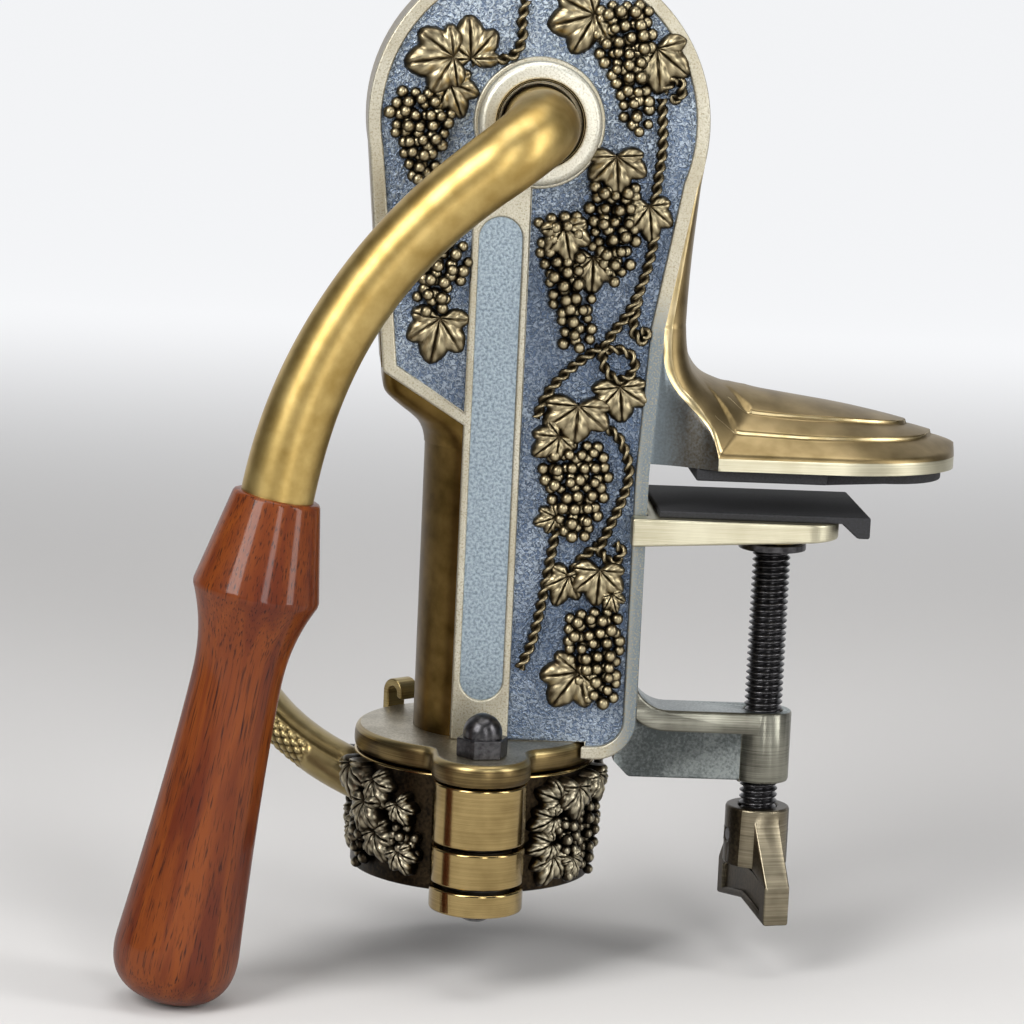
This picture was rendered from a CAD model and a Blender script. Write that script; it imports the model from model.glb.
import bmesh
import bpy
import math
import random
from mathutils import Matrix, Vector


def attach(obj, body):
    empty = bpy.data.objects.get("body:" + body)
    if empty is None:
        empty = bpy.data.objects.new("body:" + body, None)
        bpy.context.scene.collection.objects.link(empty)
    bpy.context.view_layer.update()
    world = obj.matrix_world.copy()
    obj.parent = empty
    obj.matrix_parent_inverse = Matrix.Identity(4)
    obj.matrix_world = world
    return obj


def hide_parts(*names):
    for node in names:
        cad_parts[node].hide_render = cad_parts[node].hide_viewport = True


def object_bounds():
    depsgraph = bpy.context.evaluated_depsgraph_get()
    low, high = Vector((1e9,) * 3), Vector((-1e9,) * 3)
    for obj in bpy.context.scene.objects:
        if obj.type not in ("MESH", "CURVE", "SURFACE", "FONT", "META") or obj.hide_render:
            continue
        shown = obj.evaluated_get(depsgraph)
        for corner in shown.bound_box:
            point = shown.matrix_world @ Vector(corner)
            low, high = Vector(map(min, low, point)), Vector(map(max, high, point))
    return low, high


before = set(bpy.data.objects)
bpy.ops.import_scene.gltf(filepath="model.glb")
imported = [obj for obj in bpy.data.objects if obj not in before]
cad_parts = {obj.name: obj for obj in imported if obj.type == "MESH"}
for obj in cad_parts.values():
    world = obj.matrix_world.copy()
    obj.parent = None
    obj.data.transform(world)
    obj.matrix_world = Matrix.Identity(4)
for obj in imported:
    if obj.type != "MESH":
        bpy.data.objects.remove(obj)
cadBox = [list(map(float, corner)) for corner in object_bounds()]
mm = 0.001
seat = Vector((80.0, 0.0, 66.8))  # the counter seat, from the bottle axis at the flange's top


# millimetres from the bottle axis and the flange's top, to metres from the seat
def at(x, y, z):
    return (Vector((x, y, z)) - seat) * mm


def mix(a, b, t):
    return a + (b - a) * t


def clamp(share):
    return min(1, max(0, share))


# points on an arc, whose ends are in degrees
def arc(x, y, r, first, last, steps):
    turns = [math.radians(mix(first, last, k / steps)) for k in range(steps + 1)]
    return [(x + r * math.cos(turn), y + r * math.sin(turn)) for turn in turns]


# points on the curve from a to d that b and c draw towards them
def bezier(a, b, c, d, steps):
    shares = [k / steps for k in range(steps + 1)]
    return [(1 - t) ** 3 * a + 3 * t * (1 - t) ** 2 * b + 3 * t * t * (1 - t) * c + t ** 3 * d
            for t in shares]


# camera: fitted to the photograph's frame of 1024 x 1024
cameraView = {"focalPixels": 3700, "framePixels": 1024, "azimuth": -3.5, "elevation": 9.0, "roll": 2.626,
              "distance": 914.93, "target": (-73.316, 0.0, -12.722)}


def makeCamera(view):
    turn = math.radians(view["azimuth"])
    rise = math.radians(view["elevation"])
    roll = math.radians(view["roll"])
    forward = Vector((-math.sin(turn) * math.cos(rise), math.cos(turn) * math.cos(rise), -math.sin(rise)))
    right = Vector((math.cos(turn), math.sin(turn), 0.0))
    up = right.cross(forward)
    imageRight = math.cos(roll) * right + math.sin(roll) * up
    imageUp = -math.sin(roll) * right + math.cos(roll) * up
    camera = bpy.data.cameras.new("photoCamera")
    camera.sensor_width = 36.0
    camera.lens = view["focalPixels"] / view["framePixels"] * camera.sensor_width
    camera.clip_start = 0.05
    stand = bpy.data.objects.new("photoCamera", camera)
    bpy.context.collection.objects.link(stand)
    basis = Matrix((imageRight, imageUp, -forward)).transposed().to_4x4()
    basis.translation = Vector(view["target"]) * mm - forward * view["distance"] * mm
    stand.matrix_world = basis
    bpy.context.scene.camera = stand


makeCamera(cameraView)
print("camera placed")


# one node with its settings and links, in a shader or geometry tree; gives one of its outputs, or all
def addNode(tree, kind, inputs=None, out=0, **settings):
    node = tree.nodes.new(kind)
    for key, value in settings.items():
        setattr(node, key, value)
    for key, value in (inputs or {}).items():
        if isinstance(value, bpy.types.NodeSocket):
            tree.links.new(value, node.inputs[key])
        else:
            node.inputs[key].default_value = value
    return node.outputs if out is None else node.outputs[out]


def linear(hexColour):
    shares = [int(hexColour[i:i + 2], 16) / 255 for i in (1, 3, 5)]
    return [c / 12.92 if c <= 0.04045 else ((c + 0.055) / 1.055) ** 2.4 for c in shares] + [1.0]


finish = {}


# a new finish: its tree, its shader and the place on the object
def newFinish(name, values):
    material = bpy.data.materials.new(name)
    material.use_nodes = True
    finish[name] = material
    tree = material.node_tree
    shader = tree.nodes["Principled BSDF"]
    for key, value in values.items():
        shader.inputs[key].default_value = value
    return tree, shader, addNode(tree, "ShaderNodeTexCoord", out="Object")


# ends a finish with its colour, and its relief in mm
def coat(tree, shader, colour, height, deep, strength=1.0):
    bump = addNode(tree, "ShaderNodeBump", {"Height": height, "Distance": deep * mm, "Strength": strength})
    tree.links.new(colour, shader.inputs["Base Color"])
    tree.links.new(bump, shader.inputs["Normal"])


# plainer stuffs, one slightly uneven grain each: oiled steel, satin and machined brass, rubber, nylon
plainGrain = {
    "blackOxideSteel": {"dark": "#343335", "pale": "#565556", "grainMm": 1.2, "rough": 0.3, "deep": 0.01,
                        "metal": 0.95},
    "satinBrass": {"dark": "#a2874c", "pale": "#c4aa6c", "grainMm": 7.0, "rough": 0.4},
    "wipedFootBrass": {"dark": "#6d5d3d", "pale": "#917f5b", "grainMm": 9.0, "rough": 0.38},
    "polishedEdgeBrass": {"dark": "#bda878", "pale": "#d8c69b", "grainMm": 4.0, "rough": 0.3},
    "stainedColumnBrass": {"dark": "#55431f", "pale": "#715b32", "grainMm": 5.0, "rough": 0.33},
    "shadedBrass": {"dark": "#1d170e", "pale": "#352a1a", "grainMm": 3.0, "rough": 0.45},
    "groundSteel": {"dark": "#9b9da0", "pale": "#c9cbce", "grainMm": 0.6, "rough": 0.25, "deep": 0.01},
    "machinedBrass": {"dark": "#a98a45", "pale": "#d0b265", "grainMm": 0.8, "rough": 0.28, "deep": 0.01},
    "mouldedRubber": {"dark": "#131313", "pale": "#26262a", "grainMm": 0.5, "rough": 0.72, "deep": 0.03,
                      "metal": 0.0},
    "mouldedNylon": {"dark": "#101011", "pale": "#1f1f21", "grainMm": 1.5, "rough": 0.5, "deep": 0.02,
                     "metal": 0.0},
    # panel of the upright bar: the field's blue-grey lacquer over plain sand casting
    "lacqueredPanelBronze": {"dark": "#727f89", "pale": "#9ca9b1", "grainMm": 0.7, "rough": 0.42,
                             "deep": 0.06, "metal": 0.85, "detail": 2.0, "span": (0.34, 0.6)}}
# linished antique brass: drawn level on a belt, so it shows fine level lines and brown stain
linished = {
    "linishedAntiqueBrass": {"dark": "#83704a", "pale": "#a8976a", "cloudMm": 12.0, "rough": 0.34},
    "brushedPaleBrass": {"dark": "#aea78e", "pale": "#c9c4ac", "cloudMm": 12.0},
    "brushedBossBronze": {"dark": "#5c5a51", "pale": "#8c8b7f"},
    "handledWingBronze": {"dark": "#6b6352", "pale": "#958c77", "grainMm": 0.4},
    "goldenKnuckleBrass": {"dark": "#87734a", "pale": "#ab9565", "grainMm": 0.18, "rough": 0.17},
    "stainedEdgeBrass": {"dark": "#54462e", "pale": "#7f6d48", "grainMm": 0.3, "cloudMm": 10.0}}
# sand-cast bronze left dark: brown-grey skin with paler grit
darkCast = {
    "darkSandCastBronze": {"dark": "#938b78", "pale": "#bab2a0", "cloudMm": 9.0, "deep": 0.07},
    "greyWebBronze": {"dark": "#6c7373", "pale": "#9da4a3", "cloudMm": 14.0, "deep": 0.08},
    "oxidisedJawBronze": {"dark": "#15110c", "pale": "#352b1d", "grainMm": 0.8, "cloudMm": 7.0},
    "handledKeyBronze": {"dark": "#2f2920", "pale": "#473e30", "grainMm": 0.9, "deep": 0.02}}
# what the finishes of a group share, unless one says otherwise
grainGroups = (
    (plainGrain, {"metal": 1.0, "deep": 0.0, "detail": 4.0, "span": (0.32, 0.68)}),
    (linished, {"metal": 1.0, "rough": 0.36, "deep": 0.015, "grainMm": 0.2, "runMm": 30.0, "cloudMm": 9.0,
                "detail": 3.0, "span": (0.75, 1.2)}),
    (darkCast, {"metal": 0.95, "rough": 0.36, "deep": 0.03, "grainMm": 0.6, "cloudMm": 12.0, "detail": 2.0,
                "span": (0.8, 1.2)}))


# two tones by a grain, which may run in level lines and be broken by clouds of stain
def makeGrained(name, look):
    tree, shader, where = newFinish(name, {"Metallic": look["metal"], "Roughness": look["rough"]})
    fine = 1000 / look["grainMm"]
    spread = {"Vector": where, "Scale": fine, "Detail": look["detail"]}
    if "runMm" in look:
        run = 1000 / look["runMm"]
        drawn = addNode(tree, "ShaderNodeMapping", {"Vector": where, "Scale": (run, run, fine)})
        spread.update({"Vector": drawn, "Scale": 1.0})
    grain = addNode(tree, "ShaderNodeTexNoise", spread)
    level = grain
    if "cloudMm" in look:
        cloud = addNode(tree, "ShaderNodeTexNoise", {"Vector": where, "Scale": 1000 / look["cloudMm"],
                                                     "Detail": 3.0})
        level = addNode(tree, "ShaderNodeMath", {0: grain, 1: cloud}, operation="ADD")
    share = addNode(tree, "ShaderNodeMapRange", {"Value": level, "From Min": look["span"][0],
                                                 "From Max": look["span"][1]})
    colour = addNode(tree, "ShaderNodeMix", {0: share, 6: linear(look["dark"]), 7: linear(look["pale"])},
                     data_type="RGBA", out=2)
    coat(tree, shader, colour, grain, look["deep"])


for looks, shared in grainGroups:
    for name, look in looks.items():
        makeGrained(name, {**shared, **look})

# sand-cast bronze, tumbled pale on raised faces: fine grit with darker pits, grey lacquer low at the rear
sandCast = {
    "sandCastBronze": {"pale": "#c4c0b0", "warm": "#b1aa96", "pit": "#9b927c", "grey": "#737d82",
                       "deep": 0.05},
    "paleHubBronze": {"pale": "#d6d4c8", "warm": "#c8c4b4", "pit": "#b3ad9a", "grey": "#c8c4b4",
                      "deep": 0.04}}
castGrain = {"gritMm": 0.45, "cloudMm": 16.0, "greyFrom": (31.0, 0.0, 112.0), "greyTo": (37.0, 0.0, 100.0)}


def makeSandCast(name, look):
    tree, shader, where = newFinish(name, {"Metallic": 0.9, "Roughness": 0.46})
    grit = addNode(tree, "ShaderNodeTexNoise", {"Vector": where, "Scale": 1000 / castGrain["gritMm"],
                                                "Detail": 2.0})
    cloud = addNode(tree, "ShaderNodeTexNoise", {"Vector": where, "Scale": 1000 / castGrain["cloudMm"],
                                                 "Detail": 4.0})
    worn = addNode(tree, "ShaderNodeMapRange", {"Value": cloud, "From Min": 0.35, "From Max": 0.65})
    pits = addNode(tree, "ShaderNodeMapRange", {"Value": grit, "From Min": 0.3, "From Max": 0.52})
    tone = addNode(tree, "ShaderNodeMix", {0: worn, 6: linear(look["warm"]), 7: linear(look["pale"])},
                   data_type="RGBA", out=2)
    place = addNode(tree, "ShaderNodeSeparateXYZ", {0: where}, out=None)
    first = at(*castGrain["greyFrom"])
    last = at(*castGrain["greyTo"])
    rear = addNode(tree, "ShaderNodeMapRange", {"Value": place["X"], "From Min": first.x,
                                                "From Max": last.x})
    below = addNode(tree, "ShaderNodeMapRange", {"Value": place["Z"], "From Min": first.z,
                                                 "From Max": last.z})
    share = addNode(tree, "ShaderNodeMath", {0: rear, 1: below}, operation="MULTIPLY")
    coated = addNode(tree, "ShaderNodeMix", {0: share, 6: tone, 7: linear(look["grey"])},
                     data_type="RGBA", out=2)
    colour = addNode(tree, "ShaderNodeMix", {0: pits, 6: linear(look["pit"]), 7: coated},
                     data_type="RGBA", out=2)
    coat(tree, shader, colour, grit, look["deep"])


# pebbled ground of the covers: cast leather grain in blue-grey lacquer, handled dark below the hub
pebbled = {"crest": "#b2bdc6", "hollow": "#637185", "patina": "#43536b", "wrinkleMm": 0.7, "cloudMm": 24.0,
           "deep": 0.2, "darkMm": 58.0, "brightMm": 100.0}


def makePebbled(name, look):
    tree, shader, where = newFinish(name, {"Metallic": 0.85, "Roughness": 0.38})
    wrinkles = addNode(tree, "ShaderNodeTexNoise", {"Vector": where, "Scale": 1000 / look["wrinkleMm"],
                                                    "Detail": 1.0, "Distortion": 0.9})
    crest = addNode(tree, "ShaderNodeMapRange", {"Value": wrinkles, "From Min": 0.36, "From Max": 0.62})
    lacquer = addNode(tree, "ShaderNodeMix", {0: crest, 6: linear(look["hollow"]), 7: linear(look["crest"])},
                      data_type="RGBA", out=2)
    clouds = addNode(tree, "ShaderNodeTexNoise", {"Vector": where, "Scale": 1000 / look["cloudMm"],
                                                  "Detail": 1.0})
    uneven = addNode(tree, "ShaderNodeMapRange", {"Value": clouds, "From Min": 0.3, "From Max": 0.6,
                                                  "To Min": 0.35})
    level = addNode(tree, "ShaderNodeSeparateXYZ", {0: where}, out="Z")
    handled = addNode(tree, "ShaderNodeMapRange", {
        "Value": level, "From Min": look["darkMm"] * mm, "From Max": look["brightMm"] * mm, "To Min": 0.7,
        "To Max": 0.1})
    share = addNode(tree, "ShaderNodeMath", {0: uneven, 1: handled}, operation="MULTIPLY")
    colour = addNode(tree, "ShaderNodeMix", {0: share, 6: lacquer, 7: linear(look["patina"])},
                     data_type="RGBA", out=2)
    coat(tree, shader, colour, crest, look["deep"])


# oxidised relief: near black in its hollows, rubbed back to bronze and gold on top
rubbed = {
    "rubbedReliefBronze": {"hollow": "#12100c", "body": "#5c513c", "crest": "#ccbe99", "scuffMm": 2.2},
    "oxidisedReliefBronze": {"hollow": "#0a0907", "body": "#362e22", "crest": "#d2c8ac", "scuffMm": 2.2},
    "scaledLeverBrass": {"hollow": "#1c160d", "body": "#7f6e48", "crest": "#b3a274", "scuffMm": 3.0}}
scuffDeep = 0.06


def makeRubbed(name, look):
    tree, shader, where = newFinish(name, {"Metallic": 0.95, "Roughness": 0.33})
    height = addNode(tree, "ShaderNodeAttribute", attribute_name="height", out="Fac")
    scuff = addNode(tree, "ShaderNodeTexNoise", {"Vector": where, "Scale": 1000 / look["scuffMm"],
                                                 "Detail": 3.0})
    lift = addNode(tree, "ShaderNodeMapRange", {"Value": scuff, "To Min": -0.2, "To Max": 0.2})
    level = addNode(tree, "ShaderNodeMath", {0: height, 1: lift}, operation="ADD")
    low = addNode(tree, "ShaderNodeMapRange", {"Value": level, "From Min": 0.0, "From Max": 0.55})
    high = addNode(tree, "ShaderNodeMapRange", {"Value": level, "From Min": 0.5, "From Max": 1.05})
    tone = addNode(tree, "ShaderNodeMix", {0: low, 6: linear(look["hollow"]), 7: linear(look["body"])},
                   data_type="RGBA", out=2)
    colour = addNode(tree, "ShaderNodeMix", {0: high, 6: tone, 7: linear(look["crest"])},
                     data_type="RGBA", out=2)
    coat(tree, shader, colour, scuff, scuffDeep)


# cheek of the foot: grey sand casting beside the cover, wiped dark and smooth towards its edge
flare = {"grey": "#757f84", "dark": "#443a2b", "gritMm": 0.6, "deep": 0.05}


def makeFlare(name, look):
    tree, shader, where = newFinish(name, {"Metallic": 0.95, "Roughness": 0.34})
    bare = addNode(tree, "ShaderNodeAttribute", attribute_name="bare", out="Fac")
    grit = addNode(tree, "ShaderNodeTexNoise", {"Vector": where, "Scale": 1000 / look["gritMm"],
                                                "Detail": 2.0})
    speck = addNode(tree, "ShaderNodeMapRange", {"Value": grit, "To Min": -0.5, "To Max": 0.5})
    level = addNode(tree, "ShaderNodeMath", {0: bare, 1: speck}, operation="ADD")
    share = addNode(tree, "ShaderNodeMapRange", {"Value": level, "From Min": -0.3, "From Max": 1.1})
    colour = addNode(tree, "ShaderNodeMix", {0: share, 6: linear(look["dark"]), 7: linear(look["grey"])},
                     data_type="RGBA", out=2)
    coat(tree, shader, colour, grit, look["deep"], bare)


# lacquered hardwood: fine dark pores under a thick clear coat, along the leaning grip
gripLean = 10.3
hardwood = {"heart": "#582108", "sap": "#75380d", "pore": "#301104", "poreMm": 0.4, "runMm": 18.0,
            "figureMm": 5.0, "figureRunMm": 60.0, "deep": 0.03}


def makeHardwood(name, look):
    tree, shader, where = newFinish(name, {"Roughness": 0.5, "Specular IOR Level": 0.15, "Coat Weight": 0.32,
                                           "Coat Roughness": 0.1})
    upright = addNode(tree, "ShaderNodeMapping", {"Vector": where,
                                                  "Rotation": (0, -math.radians(gripLean), 0)})
    across = 1000 / look["poreMm"]
    along = addNode(tree, "ShaderNodeMapping", {"Vector": upright, "Scale": (
        across, across, 1000 / look["runMm"])})
    pores = addNode(tree, "ShaderNodeTexNoise", {"Vector": along, "Scale": 1.0, "Detail": 3.0})
    across = 1000 / look["figureMm"]
    broad = addNode(tree, "ShaderNodeMapping", {"Vector": upright, "Scale": (
        across, across, 1000 / look["figureRunMm"])})
    figure = addNode(tree, "ShaderNodeTexNoise", {"Vector": broad, "Scale": 1.0, "Detail": 4.0,
                                                  "Distortion": 0.6})
    warm = addNode(tree, "ShaderNodeMapRange", {"Value": figure, "From Min": 0.36, "From Max": 0.64})
    dense = addNode(tree, "ShaderNodeMapRange", {"Value": pores, "From Min": 0.3, "From Max": 0.46})
    tone = addNode(tree, "ShaderNodeMix", {0: warm, 6: linear(look["heart"]), 7: linear(look["sap"])},
                   data_type="RGBA", out=2)
    colour = addNode(tree, "ShaderNodeMix", {0: dense, 6: linear(look["pore"]), 7: tone},
                     data_type="RGBA", out=2)
    coat(tree, shader, colour, pores, look["deep"], 0.6)


for name, look in sandCast.items():
    makeSandCast(name, look)
for name, look in rubbed.items():
    makeRubbed(name, look)
makePebbled("pebbledBronze", pebbled)
makeFlare("wipedCheekBronze", flare)
makeHardwood("lacqueredHardwood", hardwood)
print("finishes made", len(finish))


# mesh helpers
def linkPiece(name, mesh):
    piece = bpy.data.objects.new(name, mesh)
    bpy.context.collection.objects.link(piece)
    return piece


def newPiece(name, points, faces, weld=0.002):
    mesh = bpy.data.meshes.new(name)
    mesh.from_pydata([tuple(p) for p in points], [], faces)
    work = bmesh.new()
    work.from_mesh(mesh)
    if weld:
        bmesh.ops.remove_doubles(work, verts=work.verts, dist=weld * mm)
    bmesh.ops.recalc_face_normals(work, faces=work.faces)
    work.to_mesh(mesh)
    work.free()
    return linkPiece(name, mesh)


def loft(rings, caps=True):
    count = len(rings[0])
    last = (len(rings) - 1) * count
    faces = []
    for i in range(len(rings) - 1):
        for j in range(count):
            k = (j + 1) % count
            faces.append((i * count + j, i * count + k, (i + 1) * count + k, (i + 1) * count + j))
    if caps:
        faces.append(tuple(range(count)))
        faces.append(tuple(last + j for j in range(count)))
    return [p for ring in rings for p in ring], faces


# a turned shape: (radius, distance along the axis) from foot to head
def turned(profile, foot, axis, sides, caps=True):
    axis = Vector(axis).normalized()
    first = axis.orthogonal().normalized()
    second = axis.cross(first)
    spokes = [first * math.cos(2 * math.pi * k / sides) + second * math.sin(2 * math.pi * k / sides)
              for k in range(sides)]
    rings = [[foot + axis * s * mm + spoke * r * mm for spoke in spokes] for r, s in profile]
    return loft(rings, caps)


# a side-view outline given thickness
def slab(name, outline, y0, y1):
    return newPiece(name, *loft([[at(x, y, z) for x, z in outline] for y in (y0, y1)]))


# modifiers made plain mesh
def settle(piece):
    graph = bpy.context.evaluated_depsgraph_get()
    mesh = bpy.data.meshes.new_from_object(piece.evaluated_get(graph))
    piece.modifiers.clear()
    piece.data = mesh
    return piece


def cutAway(piece, *cutters):
    for cutter in cutters:
        cut = piece.modifiers.new("cut", "BOOLEAN")
        cut.operation = "DIFFERENCE"
        cut.solver = "EXACT"
        cut.object = cutter
    settle(piece)
    for cutter in cutters:
        bpy.data.objects.remove(cutter)
    return piece


def smooth(piece, angle=32):
    mesh = piece.data
    mesh.polygons.foreach_set("use_smooth", [True] * len(mesh.polygons))
    mesh.set_sharp_from_angle(angle=math.radians(angle))
    return piece


def joined(name, pieces):
    with bpy.context.temp_override(active_object=pieces[0], object=pieces[0],
                                   selected_objects=pieces, selected_editable_objects=pieces):
        bpy.ops.object.join()
    pieces[0].name = name
    return pieces[0]


# flats dissolved, then each sharp edge that where(middle) takes is rounded
def polish(piece, width, where=None):
    work = bmesh.new()
    work.from_mesh(piece.data)
    bmesh.ops.remove_doubles(work, verts=work.verts, dist=0.002 * mm)
    bmesh.ops.dissolve_limit(work, angle_limit=math.radians(0.5), verts=work.verts, edges=work.edges)
    weight = work.edges.layers.float.new("bevel_weight_edge")
    sharp = math.radians(30)
    for edge in work.edges:
        if len(edge.link_faces) == 2 and edge.is_convex and edge.calc_face_angle() > sharp:
            middle = (edge.verts[0].co + edge.verts[1].co) / 2 / mm + seat
            if where is None or where(middle):
                edge[weight] = 1.0
    work.to_mesh(piece.data)
    work.free()
    bevel = piece.modifiers.new("edges", "BEVEL")
    bevel.width = width * mm
    bevel.segments = 2
    bevel.limit_method = "WEIGHT"
    bevel.use_clamp_overlap = False
    bevel.harden_normals = True
    return settle(smooth(piece))


def polishedCopy(name, node, width, where=None):
    piece = linkPiece(name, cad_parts[node].data.copy())
    piece.data.materials.clear()
    return polish(piece, width, where)


# a round plug, to cut holes with
def plug(x, y, z, axis, r, low, high, sides=48):
    return newPiece("plug", *turned(((r, low), (r, high)), at(x, y, z), axis, sides))


# finishes by face: choose(middle, normal) gives a place in the list
def dress(piece, finishes, choose=None):
    piece.data.materials.clear()
    for name in finishes:
        piece.data.materials.append(finish[name])
    for face in piece.data.polygons:
        face.material_index = choose(face.center / mm + seat, face.normal) if choose else 0
    return piece


def standIn(piece, owner, slot, *nodes):
    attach(piece, owner)
    if nodes:
        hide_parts(*nodes)


# geometry trees
def newTree(name, sockets):
    tree = bpy.data.node_groups.new(name, "GeometryNodeTree")
    tree.interface.new_socket("Geometry", in_out="INPUT", socket_type="NodeSocketGeometry")
    for label, kind in sockets:
        tree.interface.new_socket(label, in_out="INPUT", socket_type=kind)
    tree.interface.new_socket("Geometry", in_out="OUTPUT", socket_type="NodeSocketGeometry")
    return tree, addNode(tree, "NodeGroupInput", out=None)


# runs a tree on a piece and leaves plain mesh
def runTree(piece, tree, values):
    modifier = piece.modifiers.new(tree.name, "NODES")
    modifier.node_group = tree
    for item in tree.interface.items_tree:
        if item.in_out == "INPUT" and item.name in values:
            modifier[item.identifier] = values[item.name]
    return settle(piece)


# ends a tree: smooth, made real and given its metal
def endTree(tree, shape, metal):
    soft = addNode(tree, "GeometryNodeSetShadeSmooth", {"Geometry": shape})
    real = addNode(tree, "GeometryNodeRealizeInstances", {"Geometry": soft})
    cast = addNode(tree, "GeometryNodeSetMaterial", {"Geometry": real, "Material": metal})
    addNode(tree, "NodeGroupOutput", {"Geometry": cast}, out=None)
    return tree


# one ball on each point, each a little different
def makeGrapeTree():
    tree, given = newTree("grapeBunch", (("Ball Radius", "NodeSocketFloat"), ("Smallest", "NodeSocketFloat"),
                                         ("Seed", "NodeSocketInt"), ("Bronze", "NodeSocketMaterial")))
    dots = addNode(tree, "GeometryNodeMeshToPoints", {"Mesh": given["Geometry"]})
    ball = addNode(tree, "GeometryNodeMeshUVSphere", {"Segments": 12, "Rings": 7,
                                                      "Radius": given["Ball Radius"]})
    size = addNode(tree, "FunctionNodeRandomValue", {2: given["Smallest"], 3: 1.0, "Seed": given["Seed"]},
                   out=1)
    balls = addNode(tree, "GeometryNodeInstanceOnPoints", {"Points": dots, "Instance": ball, "Scale": size})
    return endTree(tree, balls, given["Bronze"])


# two strands wound round each other along a line
def makeVineTree():
    tree, given = newTree("twistedVine", (
        ("Strand Radius", "NodeSocketFloat"), ("Turn Length", "NodeSocketFloat"),
        ("Step Length", "NodeSocketFloat"), ("Bronze", "NodeSocketMaterial")))
    line = addNode(tree, "GeometryNodeMeshToCurve", {"Mesh": given["Geometry"]})
    even = addNode(tree, "GeometryNodeResampleCurve", {"Curve": line, "Length": given["Step Length"]},
                   mode="LENGTH")
    along = addNode(tree, "GeometryNodeSplineParameter", out="Length")
    turns = addNode(tree, "ShaderNodeMath", {0: along, 1: given["Turn Length"]}, operation="DIVIDE")
    wound = addNode(tree, "ShaderNodeMath", {0: turns, 1: 2 * math.pi}, operation="MULTIPLY")
    tilted = addNode(tree, "GeometryNodeSetCurveTilt", {"Curve": even, "Tilt": wound})
    strand = addNode(tree, "GeometryNodeCurvePrimitiveCircle", {
        "Resolution": 8, "Radius": given["Strand Radius"]})
    shift = addNode(tree, "ShaderNodeCombineXYZ", {"X": given["Strand Radius"]})
    pair = addNode(tree, "GeometryNodeJoinGeometry")
    for side in (-0.85, 0.85):
        aside = addNode(tree, "ShaderNodeVectorMath", {0: shift, "Scale": side}, operation="SCALE")
        ring = addNode(tree, "GeometryNodeTransform", {"Geometry": strand, "Translation": aside})
        tree.links.new(ring, pair.node.inputs["Geometry"])
    rope = addNode(tree, "GeometryNodeCurveToMesh", {"Curve": tilted, "Profile Curve": pair,
                                                     "Fill Caps": True})
    return endTree(tree, rope, given["Bronze"])


# a round bar along a line, with its own radius at each point
def makeBarTree():
    tree, given = newTree("roundBar", (("Sides", "NodeSocketInt"), ("Metal", "NodeSocketMaterial")))
    line = addNode(tree, "GeometryNodeMeshToCurve", {"Mesh": given["Geometry"]})
    thick = addNode(tree, "GeometryNodeInputNamedAttribute", {"Name": "barRadius"}, data_type="FLOAT")
    ring = addNode(tree, "GeometryNodeCurvePrimitiveCircle", {"Resolution": given["Sides"], "Radius": 1.0})
    bar = addNode(tree, "GeometryNodeCurveToMesh", {"Curve": line, "Profile Curve": ring, "Scale": thick,
                                                    "Fill Caps": True})
    return endTree(tree, bar, given["Metal"])


grapeTree = makeGrapeTree()
vineTree = makeVineTree()
barTree = makeBarTree()


# a line of points as a mesh of edges
def newLine(name, points, radii=None):
    mesh = bpy.data.meshes.new(name)
    mesh.from_pydata([tuple(p) for p in points], [(i, i + 1) for i in range(len(points) - 1)], [])
    if radii:
        thick = mesh.attributes.new("barRadius", "FLOAT", "POINT")
        thick.data.foreach_set("value", radii)
    return linkPiece(name, mesh)


# a smooth line through a few points
def through(points, steps=6):
    ends = [points[0]] + list(points) + [points[-1]]
    line = []
    for i in range(1, len(ends) - 2):
        p0, p1, p2, p3 = (Vector(p) for p in ends[i - 1:i + 3])
        for k in range(steps):
            t = k / steps
            line.append(0.5 * (2 * p1 + (p2 - p0) * t + (2 * p0 - 5 * p1 + 4 * p2 - p3) * t * t
                               + (3 * p1 - p0 - 3 * p2 + p3) * t ** 3))
    return line + [Vector(ends[-1])]


# casting: the body's outlines from the side
body = {"hubX": 8.0, "hubZ": 151.0, "domeR": 41.0, "frameY": 14.5, "coverY": 17.5, "rearX": 38.5,
        "neckX": 45.5, "neckZ": 103.0, "waist": 5.0, "easeZ": 125.0, "ease": 0.75, "kinkX": 27.0,
        "kinkZ": 86.5, "kinkFootZ": 69.0, "coverLift": 8.5, "barHalf": 7.0, "skirt": 4.0, "cornerR": 10.0,
        "rim": 3.3, "fieldY": 16.3, "panelY": 16.8, "panelHalf": 5.2, "panelLow": 10.0, "panelHigh": 128.2,
        "hubR": 15.8, "bushR": 9.0, "columnR": 15.5, "columnX": 20.0, "columnZ": 95.0, "flangeR": 30.5,
        "screwX": 71.8}
rearScrews = ((-26.6, 154), (42.4, 155.8), (24.3, 181.6), (33.5, 101), (30.5, 54.8), (30.5, 10))
screwRoom = 3.9


# the angle at which a straight side that starts on the dome's rim leaves the dome
def leaveTurn(start, toward):
    hub = Vector((body["hubX"], body["hubZ"]))
    way = (Vector(toward) - Vector(start)).normalized()
    end = Vector(start) - 2 * (Vector(start) - hub).dot(way) * way
    return math.degrees(math.atan2(end.y - hub.y, end.x - hub.x))


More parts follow.
